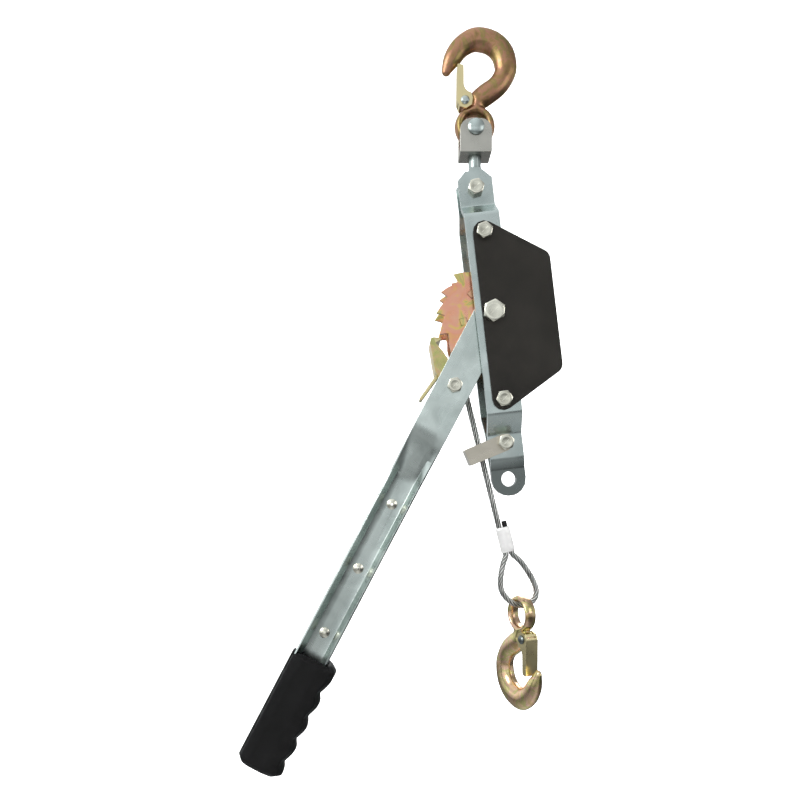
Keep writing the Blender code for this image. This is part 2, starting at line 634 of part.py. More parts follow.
def springs():
    helix("drive_pawl_spring", on_handle(PAWL_BOLT), 6.2, 0.5, 6.0, 10.5, 3)
    helix("holding_pawl_spring", on_frame(UPPER_BOLT), 6.9, 0.5, 6.0, 10.5, 3)


def keeper():
    """The rope keeper: a strip on the keeper bolt, folded round the rope, with a leaf on each side."""
    bolt_at = on_frame(KEEPER_BOLT)
    s, c = turn(23)
    leaf = 8.3 + GAP
    far_end = (bolt_at[0] - 31.0 * c, bolt_at[1] - 31.0 * s)
    fold = (far_end[0] - 2.8 * c, far_end[1] - 2.8 * s)
    corners = [(fold[0] + side * 6.0 * s, fold[1] - side * 6.0 * c, 1.2) for side in (1, -1)]
    outline = rounded([(*bolt_at, 7.2), *corners])
    made = plate("rope_keeper", outline, -leaf - 1.6, leaf + 1.6, "nickel")
    reach = 31.5
    edge = [(bolt_at[0] - reach * c - 12 * s, bolt_at[1] - reach * s + 12 * c),
            (bolt_at[0] + 20 * c - 12 * s, bolt_at[1] + 20 * s + 12 * c),
            (bolt_at[0] + 20 * c + 12 * s, bolt_at[1] + 20 * s - 12 * c),
            (bolt_at[0] - reach * c + 12 * s, bolt_at[1] - reach * s - 12 * c)]
    return cut(made, plate("inside", edge, -leaf, leaf), rod("hole", bolt_at, BOLT_R + GAP, -40, 40))


ROPE_START, FERRULE_TOP, FERRULE_END = 20.5, 176.5, 198.0


def rope():
    """The free rope, the ferrule that clamps its end, and the loop that carries the bottom hook."""
    def along(down, across=0.0):
        x, z = on_rope(down, across)
        return (x, 0.0, z)

    stretch = [along(ROPE_START + (FERRULE_TOP - GAP - ROPE_START) * k / 12) for k in range(13)]
    sweep("rope_line", stretch, [ROPE_R] * 13, "rope_wire")
    middle = on_rope((FERRULE_TOP + FERRULE_END) / 2, 2.7)
    half = (FERRULE_END - FERRULE_TOP) / 2
    bm = bmesh.new()
    bmesh.ops.create_cone(bm, cap_ends=True, segments=24, radius1=1, radius2=1, depth=2 * half)
    bmesh.ops.scale(bm, vec=(6.1, 3.6, 1), verts=bm.verts)
    bmesh.ops.rotate(bm, matrix=Matrix.Rotation(math.radians(-ROPE_TILT), 3, "Y"), verts=bm.verts)
    bmesh.ops.translate(bm, vec=(middle[0], 0, middle[1]), verts=bm.verts)
    place("ferrule", finish_mesh(bm, "ferrule"), "aluminium")
    tail = [along(FERRULE_TOP - 5.5, 5.4), along(FERRULE_TOP - GAP, 5.4)]
    sweep("rope_dead_end", tail, [ROPE_R - 0.2] * 2, "rope_wire")
    below = on_rope(FERRULE_END, 2.7)
    route = [(-4.5, -11.0), (-6.6, -24.0), (-5.6, -34.0), (0.6, -42.0), (8.6, -46.0), (16.6, -45.4),
             (23.0, -39.6), (23.6, -31.0), (18.6, -20.0), (10.6, -8.6)]
    route = [(below[0] + x, 0.0, below[1] + z) for x, z in route]
    route = [along(FERRULE_END + 0.6, 0.0), along(FERRULE_END + 3.0, -0.1), *route,
             along(FERRULE_END + 3.6, 6.0), along(FERRULE_END + 1.0, 5.3)]
    dense = smooth_path(route, 2)
    sweep("rope_eye", dense, [ROPE_R] * len(dense), "rope_wire")
    return below


def bottom_hook(loop_at):
    """The same hook upside down, hanging in the rope's loop and turned most of the way round."""
    size = 0.97
    made, lug_at, ring = hook_body("bottom_hook", size, LOOP_EYE_OUTER, LOOP_EYE_INNER, 5.6, 51.2)
    latch = latch_body("bottom_latch", lug_at, size, 28.5 * size, 8.0)
    rivet = latch_rivet("bottom_latch_rivet", lug_at, size)
    low_point = (loop_at[0] + 11.4, loop_at[1] - 46.3)
    hang = (low_point[0], low_point[1] + ROPE_R + 3 * GAP + LOOP_EYE_OUTER - LOOP_EYE_INNER)
    for thing in (made, latch, rivet):
        mesh = thing.data
        mesh.transform(Matrix.Translation((-ring[0] * MM, 0, -(ring[1] - LOOP_EYE_OUTER) * MM)))
        mesh.transform(Matrix.Rotation(math.radians(180), 4, "Y"))
        mesh.transform(Matrix.Rotation(math.radians(-65), 4, "Z"))
        mesh.transform(Matrix.Translation((hang[0] * MM, 0, hang[1] * MM)))


top_hook()
clevis()
strap("near_strap", -1)
strap("far_strap", 1)
guard()
frame_bolts()
drum()
handle_half("handle_half_near", -1)
handle_half("handle_half_far", 1)
handle_rivets()
grip()
drive_pawl()
holding_pawl()
springs()
keeper()
bottom_hook(rope())
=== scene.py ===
"""A come along winch that hangs from its top hook: finishes, wire rope, fasteners and a plain studio.

Sizes here are in millimetres and the scene is in metres, +Z up.
"""

import json
import math

import bmesh
import bpy
import numpy as np
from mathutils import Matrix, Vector

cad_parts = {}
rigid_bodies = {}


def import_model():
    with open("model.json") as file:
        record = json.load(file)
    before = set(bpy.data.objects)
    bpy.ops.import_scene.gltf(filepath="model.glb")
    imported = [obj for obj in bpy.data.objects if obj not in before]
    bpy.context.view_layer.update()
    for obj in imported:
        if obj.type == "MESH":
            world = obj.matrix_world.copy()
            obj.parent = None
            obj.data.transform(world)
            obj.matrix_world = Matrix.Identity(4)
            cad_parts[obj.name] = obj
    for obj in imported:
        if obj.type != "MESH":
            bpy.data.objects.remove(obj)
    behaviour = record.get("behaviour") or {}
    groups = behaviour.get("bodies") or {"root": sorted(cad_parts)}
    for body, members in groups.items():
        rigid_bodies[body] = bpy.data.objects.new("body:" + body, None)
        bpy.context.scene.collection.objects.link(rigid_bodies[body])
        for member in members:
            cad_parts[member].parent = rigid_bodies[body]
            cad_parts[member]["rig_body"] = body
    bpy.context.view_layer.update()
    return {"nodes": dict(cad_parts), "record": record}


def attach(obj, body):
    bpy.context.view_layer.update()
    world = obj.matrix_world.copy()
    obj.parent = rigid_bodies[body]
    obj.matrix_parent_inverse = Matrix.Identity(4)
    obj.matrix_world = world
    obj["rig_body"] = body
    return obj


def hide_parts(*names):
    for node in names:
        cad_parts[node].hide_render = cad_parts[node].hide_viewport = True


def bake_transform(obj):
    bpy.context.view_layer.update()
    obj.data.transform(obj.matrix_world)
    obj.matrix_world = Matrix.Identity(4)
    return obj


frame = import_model()
nodes = frame["nodes"]
body_of = {node: body for body, members in frame["record"]["behaviour"]["bodies"].items() for node in members}
slot_of = {row["node"]: row["material_slot"] for row in frame["record"]["subparts"]}

MM = 0.001
AXLE = (11.5, -229.7)
FRAME_TILT, HANDLE_TILT, ROPE_TILT = 6.7, 27.75, 14.0
ROPE_R, ROPE_LINE_R, INNER_LAYER_R = 2.5, 35.4, 30.8
FERRULE_TOP, FERRULE_END = 176.5, 198.0
ROPE_LAY = 27.0
GUARD_OUT, GAP = 26.8, 0.3


def turn(degrees):
    return math.sin(math.radians(degrees)), math.cos(math.radians(degrees))


def on_frame(down, across=0.0):
    s, c = turn(FRAME_TILT)
    return AXLE[0] + down * s + across * c, AXLE[1] - down * c + across * s


def on_handle(out, across=0.0):
    s, c = turn(HANDLE_TILT)
    return AXLE[0] - out * s + across * c, AXLE[1] - out * c - across * s


def on_rope(down, across=0.0):
    """A point on the free rope, down from where it leaves the drum."""
    s, c = turn(ROPE_TILT)
    x, z = AXLE[0] - ROPE_LINE_R * c, AXLE[1] - ROPE_LINE_R * s
    return x + down * s + across * c, 0.0, z - down * c + across * s


# ---------------------------------------------------------------- finishes


class Finish:
    """A material and short ways to wire its nodes."""

    def __init__(self, name, **sockets):
        self.material = bpy.data.materials.new(name)
        self.material.use_nodes = True
        self.tree = self.material.node_tree
        self.shader = self.tree.nodes["Principled BSDF"]
        for socket, value in sockets.items():
            self.shader.inputs[socket.replace("_", " ")].default_value = value
        self.where = self.add("ShaderNodeTexCoord").outputs["Object"]
        self.normal = None

    def add(self, kind, **settings):
        node = self.tree.nodes.new(kind)
        for name, value in settings.items():
            setattr(node, name, value)
        return node

    def link(self, a, b):
        self.tree.links.new(a, b)

    def along(self, tilt, stretch):
        """Coordinates stretched along a direction tilted from straight down, for drawn or brushed marks."""
        mapping = self.add("ShaderNodeMapping")
        mapping.inputs["Rotation"].default_value = (0, math.radians(tilt), 0)
        squeezed = self.add("ShaderNodeMapping")
        squeezed.inputs["Scale"].default_value = (1, 1, 1 / stretch)
        self.link(self.where, mapping.inputs["Vector"])
        self.link(mapping.outputs["Vector"], squeezed.inputs["Vector"])
        return squeezed.outputs["Vector"]

    def noise(self, scale, detail=4.0, distortion=0.0, where=None):
        node = self.add("ShaderNodeTexNoise")
        node.inputs["Scale"].default_value = scale
        node.inputs["Detail"].default_value = detail
        node.inputs["Distortion"].default_value = distortion
        self.link(where or self.where, node.inputs["Vector"])
        return node.outputs["Fac"]

    def ramp(self, factor, stops):
        node = self.add("ShaderNodeValToRGB")
        elements = node.color_ramp.elements
        while len(elements) < len(stops):
            elements.new(0.5)
        for element, (place, colour) in zip(elements, stops):
            element.position = place
            element.color = (*colour, 1)
        self.link(factor, node.inputs["Fac"])
        return node.outputs["Color"]

    def span(self, value, low, high, start=0.3, end=0.7):
        node = self.add("ShaderNodeMapRange")
        for name, number in (("From Min", start), ("From Max", end), ("To Min", low), ("To Max", high)):
            node.inputs[name].default_value = number
        self.link(value, node.inputs["Value"])
        return node.outputs["Result"]

    def mix(self, factor, first, second):
        """Two colours mixed by a factor; each may be a plain value or another node's output."""
        node = self.add("ShaderNodeMix", data_type="RGBA")
        for socket, value in zip((node.inputs[0], node.inputs[6], node.inputs[7]), (factor, first, second)):
            if isinstance(value, float):
                socket.default_value = value
            elif isinstance(value, tuple):
                socket.default_value = (*value, 1)
            else:
                self.link(value, socket)
        return node.outputs[2]

    def further_than(self, tilt, start, full):
        """0 above start and 1 below full, both in millimetres down the frame from its axle."""
        s, c = turn(tilt)
        level = self.add("ShaderNodeVectorMath", operation="DOT_PRODUCT")
        level.inputs[1].default_value = (s, 0, -c)
        self.link(self.where, level.inputs[0])
        axle = AXLE[0] * s - AXLE[1] * c
        return self.span(level.outputs["Value"], 0.0, 1.0, (axle + start) * MM, (axle + full) * MM)

    def edges(self, low=0.5, high=0.62):
        """1 along convex edges, where plating is rubbed bright."""
        pointy = self.add("ShaderNodeNewGeometry").outputs["Pointiness"]
        return self.span(pointy, 0.0, 1.0, low, high)

    def bump(self, height, strength, depth):
        node = self.add("ShaderNodeBump")
        node.inputs["Strength"].default_value = strength
        node.inputs["Distance"].default_value = depth
        self.link(height, node.inputs["Height"])
        if self.normal:
            self.link(self.normal, node.inputs["Normal"])
        self.normal = node.outputs["Normal"]
        self.link(self.normal, self.shader.inputs["Normal"])

    def colour(self, output):
        self.link(output, self.shader.inputs["Base Color"])

    def roughness(self, output):
        self.link(output, self.shader.inputs["Roughness"])


# A dark reflection painted onto the straps beyond the keeper: its share of the light colour, and where it
# fades in.
PAINTED_REFLECTION_SHARE = 0.34
PAINTED_REFLECTION_FROM = (121.0, 131.0)


def plated_steel(name, dark, light, tilt, rough=(0.2, 0.36), painted_dark_end=False, metal=1.0):
    """White zinc on drawn steel: cloudy, streaked along the strip, brighter where edges are rubbed, and with
    a painted dark reflection at the strap ends when asked.
    """
    made = Finish(name, Metallic=metal)
    clouds = made.noise(38, 6, 0.6)
    streaks = made.noise(420, 3, 0.0, made.along(tilt, 26))
    base = made.ramp(clouds, [(0.34, dark), (0.62, light)])
    shaded = tuple(value * 0.86 for value in light)
    base = made.mix(made.span(streaks, 0.0, 0.42, 0.42, 0.72), base, shaded)
    rubbed = tuple(min(1.0, value * 1.12) for value in light)
    base = made.mix(made.edges(), base, rubbed)
    # Painted dark reflection: the strip is darkened beyond the keeper to stand in for what it reflects there.
    if painted_dark_end:
        painted_dark_reflection = tuple(value * PAINTED_REFLECTION_SHARE for value in light)
        base = made.mix(made.further_than(tilt, *PAINTED_REFLECTION_FROM), base, painted_dark_reflection)
    made.colour(base)
    made.roughness(made.span(made.noise(75, 5), *rough))
    made.bump(streaks, 0.10, 0.00012)
    made.bump(made.noise(1500, 2), 0.06, 0.00008)
    return made.material


FILM = [(0.42, (0.62, 0.42, 0.38)), (0.5, (0.72, 0.60, 0.30)), (0.58, (0.50, 0.58, 0.26))]


def chromate(name, stops, scale, rough, forged, veil=0.24):
    """Yellow chromate over zinc: its colour drifts between gold, pink and green in soft patches."""
    made = Finish(name, Metallic=1.0)
    patches = made.noise(scale, 5, 1.4)
    base = made.ramp(patches, stops)
    film = made.ramp(made.noise(scale * 2.7, 3, 2.0), FILM)
    base = made.mix(veil, base, film)
    made.colour(made.mix(made.edges(0.52, 0.66), base, (0.86, 0.74, 0.42)))
    made.roughness(made.span(made.noise(scale * 1.6, 5), *rough))
    made.bump(made.noise(330, 4), forged, 0.0004)
    made.bump(made.noise(1400, 2), 0.08, 0.00008)
    return made.material


def coated(name, shade, rough, grain, strength, shine=0.2):
    """A dark coat or moulded rubber with a fine skin."""
    made = Finish(name, Metallic=0.0, Specular_IOR_Level=shine)
    lifted = tuple(value * 1.5 for value in shade)
    made.colour(made.ramp(made.noise(26, 5), [(0.35, shade), (0.7, lifted)]))
    made.roughness(made.span(made.noise(60, 6), *rough))
    made.bump(made.noise(grain, 3), strength, 0.00018)
    return made.material


def bare_wire(name, dark, light):
    """Galvanised wire, with painted shade in the valleys between its strands."""
    made = Finish(name, Metallic=1.0)
    base = made.ramp(made.noise(130, 5), [(0.32, dark), (0.66, light)])
    # Painted shade: the outward attribute darkens each strand's inner side to stand in for the shade between
    # strands.
    outward = made.add("ShaderNodeAttribute", attribute_name="outward").outputs["Fac"]
    valley_painted_shade = tuple(value * 0.14 for value in dark)
    made.colour(made.mix(made.span(outward, 0.0, 1.0, 0.42, 0.92), valley_painted_shade, base))
    made.roughness(made.span(made.noise(210, 4), 0.26, 0.46))
    made.bump(made.noise(2600, 2), 0.12, 0.00006)
    return made.material


GOLD = [(0.30, (0.25, 0.135, 0.065)), (0.40, (0.40, 0.225, 0.10)), (0.47, (0.50, 0.235, 0.155)),
        (0.55, (0.33, 0.245, 0.085)), (0.63, (0.47, 0.29, 0.12)), (0.74, (0.52, 0.26, 0.18))]
BRIGHT_GOLD = [(0.30, (0.62, 0.41, 0.18)), (0.40, (0.84, 0.58, 0.34)), (0.48, (0.90, 0.57, 0.43)),
               (0.55, (0.66, 0.62, 0.24)), (0.63, (0.92, 0.70, 0.39)), (0.74, (0.86, 0.51, 0.37))]
# Painted dark reflection: the bottom latch's yellow zinc is darkened to stand in for the dark its faces
# reflect.
LATCH_REFLECTION_DARK = [(0.34, (0.13, 0.080, 0.028)), (0.50, (0.22, 0.140, 0.055)), (0.66, (0.16, 0.120, 0.040))]
RAINBOW = [(0.28, (0.95, 0.50, 0.18)), (0.38, (0.96, 0.38, 0.26)), (0.50, (0.97, 0.43, 0.33)),
           (0.57, (0.95, 0.60, 0.18)), (0.62, (0.50, 0.56, 0.16)), (0.67, (0.95, 0.52, 0.22)),
           (0.8, (0.92, 0.36, 0.30))]
OLIVE = [(0.30, (0.34, 0.36, 0.10)), (0.46, (0.52, 0.52, 0.16)), (0.56, (0.70, 0.52, 0.22)),
         (0.7, (0.60, 0.30, 0.20))]

# The straps carry a painted dark reflection at their lower ends.
STRAP_ZINC = plated_steel("strap_zinc", (0.42, 0.49, 0.475), (0.62, 0.69, 0.67), FRAME_TILT, painted_dark_end=True)
CLEVIS_ZINC = plated_steel("clevis_zinc", (0.44, 0.43, 0.39), (0.60, 0.585, 0.53), 0)
HANDLE_ZINC = plated_steel("handle_zinc", (0.48, 0.54, 0.515), (0.70, 0.77, 0.735), -HANDLE_TILT)
BOLT_ZINC = plated_steel("bolt_zinc_finish", (0.60, 0.58, 0.48), (0.88, 0.86, 0.74), 0, (0.16, 0.28))
HOOK_GOLD = chromate("hook_gold", GOLD, 48, (0.30, 0.44), 0.26, 0.10)
BRIGHT_HOOK = chromate("bright_hook_gold", BRIGHT_GOLD, 60, (0.16, 0.30), 0.10, 0.12)
LATCH_PAINTED_REFLECTION = chromate("latch_painted_dark_reflection", LATCH_REFLECTION_DARK, 70, (0.22, 0.36), 0.06, 0.08)
WHEEL_RAINBOW = chromate("wheel_rainbow", RAINBOW, 48, (0.24, 0.40), 0.06, 0.06)
PAWL_OLIVE = chromate("pawl_olive", OLIVE, 50, (0.26, 0.42), 0.08)
GUARD_BLACK = coated("guard_black", (0.0085, 0.0076, 0.0062), (0.32, 0.46), 620, 0.16)
GRIP_RUBBER = coated("grip_rubber", (0.0035, 0.0035, 0.0036), (0.36, 0.54), 900, 0.22, 0.12)
TAPE_BLACK = coated("tape_black", (0.010, 0.010, 0.010), (0.40, 0.60), 1400, 0.30)
NICKEL = plated_steel("keeper_nickel", (0.46, 0.42, 0.35), (0.64, 0.59, 0.50), -67, (0.24, 0.38))
ALUMINIUM = plated_steel("ferrule_aluminium", (0.58, 0.57, 0.56), (0.78, 0.77, 0.76), ROPE_TILT,
                         (0.30, 0.44), metal=0.65)
WIRE = bare_wire("galvanised_wire", (0.42, 0.42, 0.40), (0.80, 0.80, 0.77))
SPRING = plated_steel("spring_wire", (0.45, 0.46, 0.48), (0.70, 0.71, 0.73), 0)

FINISHES = {"yellow_zinc": HOOK_GOLD, "iridescent_zinc": WHEEL_RAINBOW, "white_zinc": STRAP_ZINC,
            "bolt_zinc": BOLT_ZINC, "black_coat": GUARD_BLACK, "rubber": GRIP_RUBBER, "nickel": NICKEL,
            "rope_wire": WIRE, "aluminium": ALUMINIUM, "spring_steel": SPRING}


def coat(thing, finish):
    thing.data.materials.clear()
    thing.data.materials.append(finish)


# ---------------------------------------------------------------- steel plate: CAD nodes with rounded edges


def round_edges(node, width, segments=2, angle=32):
    """Welds a node's tessellation, merges its flat faces, and rounds its edges with modifiers."""
    thing = nodes[node]
    for polygon in thing.data.polygons:
        polygon.use_smooth = True
    weld = thing.modifiers.new("weld", "WELD")
    weld.merge_threshold = 0.000004
    flat = thing.modifiers.new("flat", "DECIMATE")
    flat.decimate_type = "DISSOLVE"
    flat.angle_limit = math.radians(0.6)
    bevel = thing.modifiers.new("edges", "BEVEL")
    bevel.width = width * MM
    bevel.segments = segments
    bevel.limit_method = "ANGLE"
    bevel.angle_limit = math.radians(angle)
    bevel.miter_outer = "MITER_ARC"
    shading = thing.modifiers.new("shading", "WEIGHTED_NORMAL")
    shading.weight = 60


EDGE_WIDTHS = {
    "near_strap": 0.7, "far_strap": 0.7, "guard": 0.45, "hook_clevis": 0.6, "handle_half_near": 0.4,
    "handle_half_far": 0.4, "ratchet_wheel_near": 0.35, "ratchet_wheel_far": 0.35, "drive_pawl": 0.35,
    "holding_pawl": 0.35, "rope_keeper": 0.3, "top_latch": 0.3, "bottom_latch": 0.3, "swivel_stud": 0.5,
}
PLAIN_EDGE = 0.25
for node, thing in nodes.items():
    coat(thing, FINISHES[slot_of[node]])
    round_edges(node, EDGE_WIDTHS.get(node, PLAIN_EDGE))
for node in ("handle_half_near", "handle_half_far"):
    coat(nodes[node], HANDLE_ZINC)
coat(nodes["drive_pawl"], PAWL_OLIVE)
# The bottom latch gets the painted dark reflection in place of the hook's gold.
coat(nodes["bottom_latch"], LATCH_PAINTED_REFLECTION)
coat(nodes["hook_clevis"], CLEVIS_ZINC)


# ---------------------------------------------------------------- new pieces


def piece(name, mesh, finish, *replaced, body=None):
    """Adds a mesh as a piece that stands for CAD nodes and rides on their body."""
    thing = bpy.data.objects.new(name, mesh)
    bpy.context.scene.collection.objects.link(thing)
    coat(thing, finish)
    for polygon in mesh.polygons:
        polygon.use_smooth = True
    if replaced:
        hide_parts(*replaced)
    if body or replaced:
        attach(thing, body or body_of[replaced[0]])
    return thing


def forged(node, voxel, passes, finish):
    """A forged or moulded piece: the CAD shape with every edge run softly into the next."""
    mesh = nodes[node].data.copy()
    bm = bmesh.new()
    bm.from_mesh(mesh)
    bmesh.ops.remove_doubles(bm, verts=bm.verts, dist=0.000004)
    bm.to_mesh(mesh)
    bm.free()
    rough = bpy.data.objects.new(node + "_rough", mesh)
    bpy.context.scene.collection.objects.link(rough)
    remesh = rough.modifiers.new("remesh", "REMESH")
    remesh.mode = "VOXEL"
    remesh.voxel_size = voxel * MM
    smooth = rough.modifiers.new("smooth", "SMOOTH")
    smooth.factor = 0.5
    smooth.iterations = passes
    bpy.context.view_layer.update()
    done = bpy.data.meshes.new_from_object(rough.evaluated_get(bpy.context.evaluated_depsgraph_get()))
    bpy.data.objects.remove(rough)
    return piece(node + "_skin", done, finish, node)


forged("top_hook", 0.7, 14, HOOK_GOLD)
forged("bottom_hook", 0.7, 14, BRIGHT_HOOK)
forged("grip", 0.9, 4, GRIP_RUBBER)


def around_y(rings, at, sides, capped=True):
    """A closed mesh along Y from rings, each a place along Y and a radius that may depend on the angle."""
    verts, faces = [], []
    for along, radius in rings:
        for k in range(sides):
            angle = 2 * math.pi * k / sides
            reach = radius(angle) if callable(radius) else radius
            y = along(angle) if callable(along) else along
            x, z = at[0] + reach * math.cos(angle), at[1] + reach * math.sin(angle)
            verts.append((x * MM, y * MM, z * MM))
    for ring in range(len(rings) - 1):
        for k in range(sides):
            a, b = ring * sides + k, ring * sides + (k + 1) % sides
            faces.append((a, a + sides, b + sides, b))
    last = (len(rings) - 1) * sides
    if capped:
        faces.append(tuple(range(sides)))
        faces.append(tuple(reversed(range(last, last + sides))))
    else:
        faces += [(last + k, k, (k + 1) % sides, last + (k + 1) % sides) for k in range(sides)]
    mesh = bpy.data.meshes.new("turned")
    mesh.from_pydata(verts, [], faces)
    bm = bmesh.new()
    bm.from_mesh(mesh)
    bmesh.ops.recalc_face_normals(bm, faces=bm.faces)
    bm.to_mesh(mesh)
    bm.free()
    return mesh


def crisp(thing, angle=30):
    thing.data.set_sharp_from_angle(angle=math.radians(angle))
    return thing


def hexagon(corner, turned):
    """The reach of a hexagon at an angle, its corners slightly rounded."""
    flat = corner * math.cos(math.pi / 6)

    def reach(angle):
        local = (angle - math.radians(turned)) % (math.pi / 3) - math.pi / 6
        return min(flat / math.cos(local), corner * 0.99)
    return reach


CHAMFER = math.tan(math.radians(28))


def hex_rings(corner, turned, y_face, outward, thick):
    """A hexagon's rings from chamfered face to bearing face; outward is -1 when the face looks to -Y."""
    reach = hexagon(corner, turned)
    circle = corner * math.cos(math.pi / 6) * 0.95

    def brim(angle):
        return y_face - outward * (reach(angle) - circle) * CHAMFER

    def bearing(angle):
        return reach(angle) - 0.3
    rings = [(y_face, circle - 0.15), (y_face - outward * 0.06, circle), (brim, reach)]
    rings.append((y_face - outward * (thick - 0.3), reach))
    rings.append((y_face - outward * thick, bearing))
    return rings


def hex_bolt(node, at, corner, shank, under_head, head, end, turned):
    """A hexagon bolt with a chamfered, slightly dished head and a rolled thread at its end."""
    face = under_head - head
    rings = [(face + 0.25, 0.05), (face + 0.25, corner * 0.42), (face + 0.02, corner * 0.52)]
    rings += hex_rings(corner, turned, face, -1, head)
    rings.append((under_head, shank))
    thread_from = end - 13
    rings.append((thread_from, shank))
    pitch = 1.2 if shank < 4.5 else 1.5
    y = thread_from
    while y < end - 1.6:
        root, crest = shank - 0.62, shank - 0.03
        rings += [(y + pitch * 0.25, root), (y + pitch * 0.45, root), (y + pitch * 0.9, crest)]
        y += pitch
    rings += [(end - 0.7, shank - 0.35), (end, shank - 1.0), (end, 0.05)]
    crisp(piece(node + "_turned", around_y(rings, at, 72), BOLT_ZINC, node), 34)


def hex_nut(node, at, corner, shank, y_from, thick, turned):
    outer = hex_rings(corner, turned, y_from + thick, 1, thick)
    rings = [(y_from + thick, shank + 0.75), *outer, (y_from, shank + 0.6), (y_from + 0.5, shank + 0.12)]
    rings.append((y_from + thick - 0.6, shank + 0.12))
    crisp(piece(node + "_turned", around_y(rings, at, 72, capped=False), BOLT_ZINC, node), 34)


TABS, OUTER, LEAF, CHEEK = 8.3 + 2 + GAP, GUARD_OUT + GAP, 8.3 + GAP + 1.6 + GAP, 19 + GAP
TOP_BOLT, UPPER_BOLT, LOWER_BOLT, KEEPER_BOLT, PAWL_BOLT = -109.0, -66.5, 72.0, 107.0, 67.0
BOLT_HEX, BOLT_R, BOLT_HEAD, NUT_THICK = 7.0, 3.75, 5.0, 6.0
AXLE_HEX, AXLE_R, AXLE_HEAD, AXLE_NUT_THICK = 9.4, 5.0, 6.4, 8.0
PAWL_HEX, PAWL_HEAD, PAWL_NUT_THICK = 6.6, 3.4, 3.0
for node, at, corner, shank, under_head, head, end, turned in (
    ("top_bolt", on_frame(TOP_BOLT), BOLT_HEX, BOLT_R, -TABS, BOLT_HEAD, TABS + 8, 14),
    ("upper_guard_bolt", on_frame(UPPER_BOLT), BOLT_HEX, BOLT_R, -OUTER, BOLT_HEAD, OUTER + 8, 20),
    ("lower_guard_bolt", on_frame(LOWER_BOLT), BOLT_HEX, BOLT_R, -OUTER, BOLT_HEAD, OUTER + 8, 8),
    ("axle_bolt", on_frame(0.0), AXLE_HEX, AXLE_R, -OUTER, AXLE_HEAD, OUTER + 10, 26),
    ("keeper_bolt", on_frame(KEEPER_BOLT), BOLT_HEX, BOLT_R, -LEAF, BOLT_HEAD, LEAF + 8, 17),
    ("drive_pawl_bolt", on_handle(PAWL_BOLT), PAWL_HEX, BOLT_R, -CHEEK, PAWL_HEAD, CHEEK + 3.6, 12),
):
    hex_bolt(node, at, corner, shank, under_head, head, end, turned)
for node, at, corner, shank, y_from, thick, turned in (
    ("top_nut", on_frame(TOP_BOLT), BOLT_HEX, BOLT_R, TABS, NUT_THICK, 5),
    ("upper_guard_nut", on_frame(UPPER_BOLT), BOLT_HEX, BOLT_R, OUTER, NUT_THICK, 31),
    ("lower_guard_nut", on_frame(LOWER_BOLT), BOLT_HEX, BOLT_R, OUTER, NUT_THICK, 19),
    ("axle_nut", on_frame(0.0), AXLE_HEX, AXLE_R, OUTER, AXLE_NUT_THICK, 40),
    ("keeper_nut", on_frame(KEEPER_BOLT), BOLT_HEX, BOLT_R, LEAF, NUT_THICK, 2),
    ("drive_pawl_ring", on_handle(PAWL_BOLT), PAWL_HEX, BOLT_R, CHEEK, PAWL_NUT_THICK, 24),
):
    hex_nut(node, at, corner, shank, y_from, thick, turned)


# ---------------------------------------------------------------- wire rope


def resample(points, step):
    """Points at an even step along a path, as an array."""
    path = np.array(points, float)
    lengths = np.concatenate([[0], np.cumsum(np.linalg.norm(np.diff(path, axis=0), axis=1))])
    count = max(2, int(round(lengths[-1] / step)) + 1)
    places = np.linspace(0, lengths[-1], count)
    return np.stack([np.interp(places, lengths, path[:, i]) for i in range(3)], 1), places


def wire_rope(name, points, radius, lay, step, sides, finish, replaced=(), body=None, spin=0.0):
    """Six strands laid round a path, each with its own wires, and a core that fills the middle."""
    path, places = resample(points, step)
    tangents = np.gradient(path, axis=0)
    tangents /= np.linalg.norm(tangents, axis=1)[:, None]
    side = np.cross(tangents[0], (0.12, 0.97, 0.2))
    sideways = []
    for tangent in tangents:
        side = side - tangent * np.dot(side, tangent)
        side /= np.linalg.norm(side)
        sideways.append(side)
    sideways = np.array(sideways)
    upward = np.cross(tangents, sideways)
    rounds = 2 * np.pi * np.arange(sides) / sides
    verts, faces, outward = [], [], []

    def tube(centres, reach, ruffle, facing):
        start = len(verts) * sides
        for i, centre in enumerate(centres):
            wires = reach * (1 + ruffle * np.cos(6 * (rounds - 2 * np.pi * places[i] / (lay * 0.45))))
            right, up = np.cos(rounds) * wires, np.sin(rounds) * wires
            verts.append(centre + (right[:, None] * sideways[i] + up[:, None] * upward[i]))
            outward.append(np.zeros(sides) if facing is None else 0.5 + 0.5 * np.cos(rounds - facing[i]))
        for i in range(len(centres) - 1):
            for k in range(sides):
                a, b = start + i * sides + k, start + i * sides + (k + 1) % sides
                faces.append((a, b, b + sides, a + sides))
        faces.append(tuple(reversed(range(start, start + sides))))
        last = start + (len(centres) - 1) * sides
        faces.append(tuple(range(last, last + sides)))

    strand = radius * 0.345
    for number in range(6):
        angle = spin + 2 * np.pi * (number / 6 + places / lay)
        offset = np.cos(angle)[:, None] * sideways + np.sin(angle)[:, None] * upward
        tube(path + offset * (radius - strand), strand, 0.05 if sides >= 12 else 0.0, angle)
    tube(path, radius * 0.36, 0.0, None)
    mesh = bpy.data.meshes.new(name)
    mesh.from_pydata((np.concatenate(verts) * MM).tolist(), [], faces)
    # outward is 1 where a strand faces out and 0 in the valleys, where the wire finish paints shade.
    shade = mesh.attributes.new("outward", "FLOAT", "POINT")
    shade.data.foreach_set("value", np.concatenate(outward).astype(np.float32))
    return piece(name, mesh, finish, *replaced, body=body)


